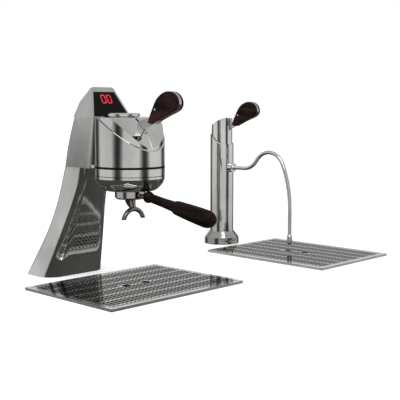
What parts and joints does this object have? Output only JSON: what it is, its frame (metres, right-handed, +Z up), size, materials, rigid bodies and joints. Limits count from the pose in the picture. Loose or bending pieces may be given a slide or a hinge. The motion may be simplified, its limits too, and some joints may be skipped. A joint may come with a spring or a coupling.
{
  "type": "espresso machine",
  "caption": "Modular worktop espresso machine: leaning polished column with a drum head, lever and portafilter, a separate lever steam tap with curved wand, and flat drip trays.",
  "frame": {"origin": "on the worktop, at the centre of the brew column footprint", "axes": "+X to the barista's right, -Y towards the barista, +Z up"},
  "size_m": [0.956, 0.5937, 0.455],
  "materials": {
    "polished_steel": "polished stainless steel",
    "satin_steel": "fine satin stainless steel",
    "lens_black": "glossy smoked black",
    "digit_red": "lit red bars",
    "board_green": "circuit board laminate",
    "seal_black": "matt black ring",
    "gasket_rubber": "moulded seal",
    "lever_steel": "brushed steel",
    "dark_wood": "oiled very dark wood",
    "dark_collar": "oiled very dark wood bead",
    "portafilter_chrome": "polished plating",
    "basket_steel": "thin stainless sheet",
    "wand_steel": "polished stainless tube",
    "tray_steel": "bright stainless rim",
    "grid_steel": "bright perforated stainless sheet",
    "screw_steel": "plain steel",
    "inner_steel": "plain machined steel",
    "brass": "machined brass",
    "copper_pipe": "copper pipe"
  },
  "bodies": {
    "machine": {"bayonet_ring": "portafilter_chrome", "brew_lever_pin": "inner_steel", "brew_lever_yoke": "inner_steel", "brew_valve_body": "brass", "brew_valve_spring": "inner_steel", "column_base_plate": "inner_steel", "column_body": "polished_steel", "column_spine": "inner_steel", "dispersion_block": "brass", "display_board": "board_green", "display_digits": "digit_red", "display_lens": "lens_black", "group_body": "brass", "group_gasket": "gasket_rubber", "head_arm": "inner_steel", "head_cap": "satin_steel", "head_cover": "polished_steel", "head_skirt": "polished_steel", "heater_cartridges": "inner_steel", "lever_stop_screw": "screw_steel", "rear_cover": "polished_steel", "rear_cover_screws": "screw_steel", "screen_screw": "screw_steel", "seal_ring": "seal_black", "shower_screen": "basket_steel", "steam_flange": "satin_steel", "steam_lever_pin": "inner_steel", "steam_lever_yoke": "inner_steel", "steam_pipes": "copper_pipe", "steam_sleeve": "polished_steel", "steam_tube": "polished_steel", "steam_valve_body": "brass", "steam_valve_spring": "inner_steel", "temperature_probe": "inner_steel", "tray_1_pan": "tray_steel", "tray_2_pan": "tray_steel", "tray_strainers": "basket_steel", "wand_nut": "wand_steel", "water_pipe": "copper_pipe"},
    "brew_lever": {"brew_lever_tang": "lever_steel", "brew_lever_scales": "dark_wood", "brew_lever_rivet": "lever_steel"},
    "brew_plunger": {"brew_valve_plunger": "inner_steel"},
    "portafilter": {"portafilter_bowl": "portafilter_chrome", "filter_basket": "basket_steel", "double_spout": "portafilter_chrome", "handle_collar": "dark_collar", "handle_neck": "dark_wood", "handle_grip": "dark_wood"},
    "steam_lever": {"steam_lever_tang": "lever_steel", "steam_lever_scales": "dark_wood", "steam_lever_rivet": "lever_steel"},
    "steam_plunger": {"steam_valve_plunger": "inner_steel"},
    "wand_ball": {"wand_ball": "wand_steel"},
    "wand": {"steam_wand": "wand_steel", "wand_tip": "wand_steel"},
    "grid_1": {"tray_1_grid": "grid_steel"},
    "grid_2": {"tray_2_grid": "grid_steel"}
  },
  "joints": [
    {"name": "brew_lever_pivot", "type": "hinge", "parent": "machine", "child": "brew_lever", "pos_m": [0, -0.248, 0.358], "axis": [1, 0, 0], "range_deg": [-25, 0]},
    {"name": "brew_plunger_slide", "type": "slide", "parent": "machine", "child": "brew_plunger", "axis": [0, 0, -1], "range_m": [0, 0.0018], "stiffness_N_per_m": 900, "springref_m": -0.002, "deforming": ["brew_valve_spring"]},
    {"name": "portafilter_twist", "type": "hinge", "parent": "machine", "child": "portafilter", "pos_m": [0, -0.238, 0.226], "axis": [0, 0, 1], "range_deg": [-45, 0]},
    {"name": "steam_lever_pivot", "type": "hinge", "parent": "machine", "child": "steam_lever", "pos_m": [0.609, 0.0525, 0.34], "axis": [1, 0, 0], "range_deg": [-25, 0]},
    {"name": "steam_plunger_slide", "type": "slide", "parent": "machine", "child": "steam_plunger", "axis": [0, 0, -1], "range_m": [0, 0.0018], "stiffness_N_per_m": 900, "springref_m": -0.002, "deforming": ["steam_valve_spring"]},
    {"name": "wand_swivel", "type": "hinge", "parent": "machine", "child": "wand_ball", "pos_m": [0.609, -0.0055, 0.23], "axis": [0, 0, 1], "range_deg": [-30, 30]},
    {"name": "wand_roll", "type": "hinge", "parent": "wand_ball", "child": "wand", "pos_m": [0.609, -0.0055, 0.23], "axis": [0, 1, 0], "range_deg": [-60, 60]},
    {"name": "grid_1_lift", "type": "slide", "parent": "machine", "child": "grid_1", "axis": [0, 0, 1], "range_m": [0, 0.06]},
    {"name": "grid_2_lift", "type": "slide", "parent": "machine", "child": "grid_2", "axis": [0, 0, 1], "range_m": [0, 0.012]}
  ],
  "couplings": [
    {"joint": "brew_plunger_slide", "follows": "brew_lever_pivot", "m_per_rad": -0.004},
    {"joint": "steam_plunger_slide", "follows": "steam_lever_pivot", "m_per_rad": -0.004}
  ]
}
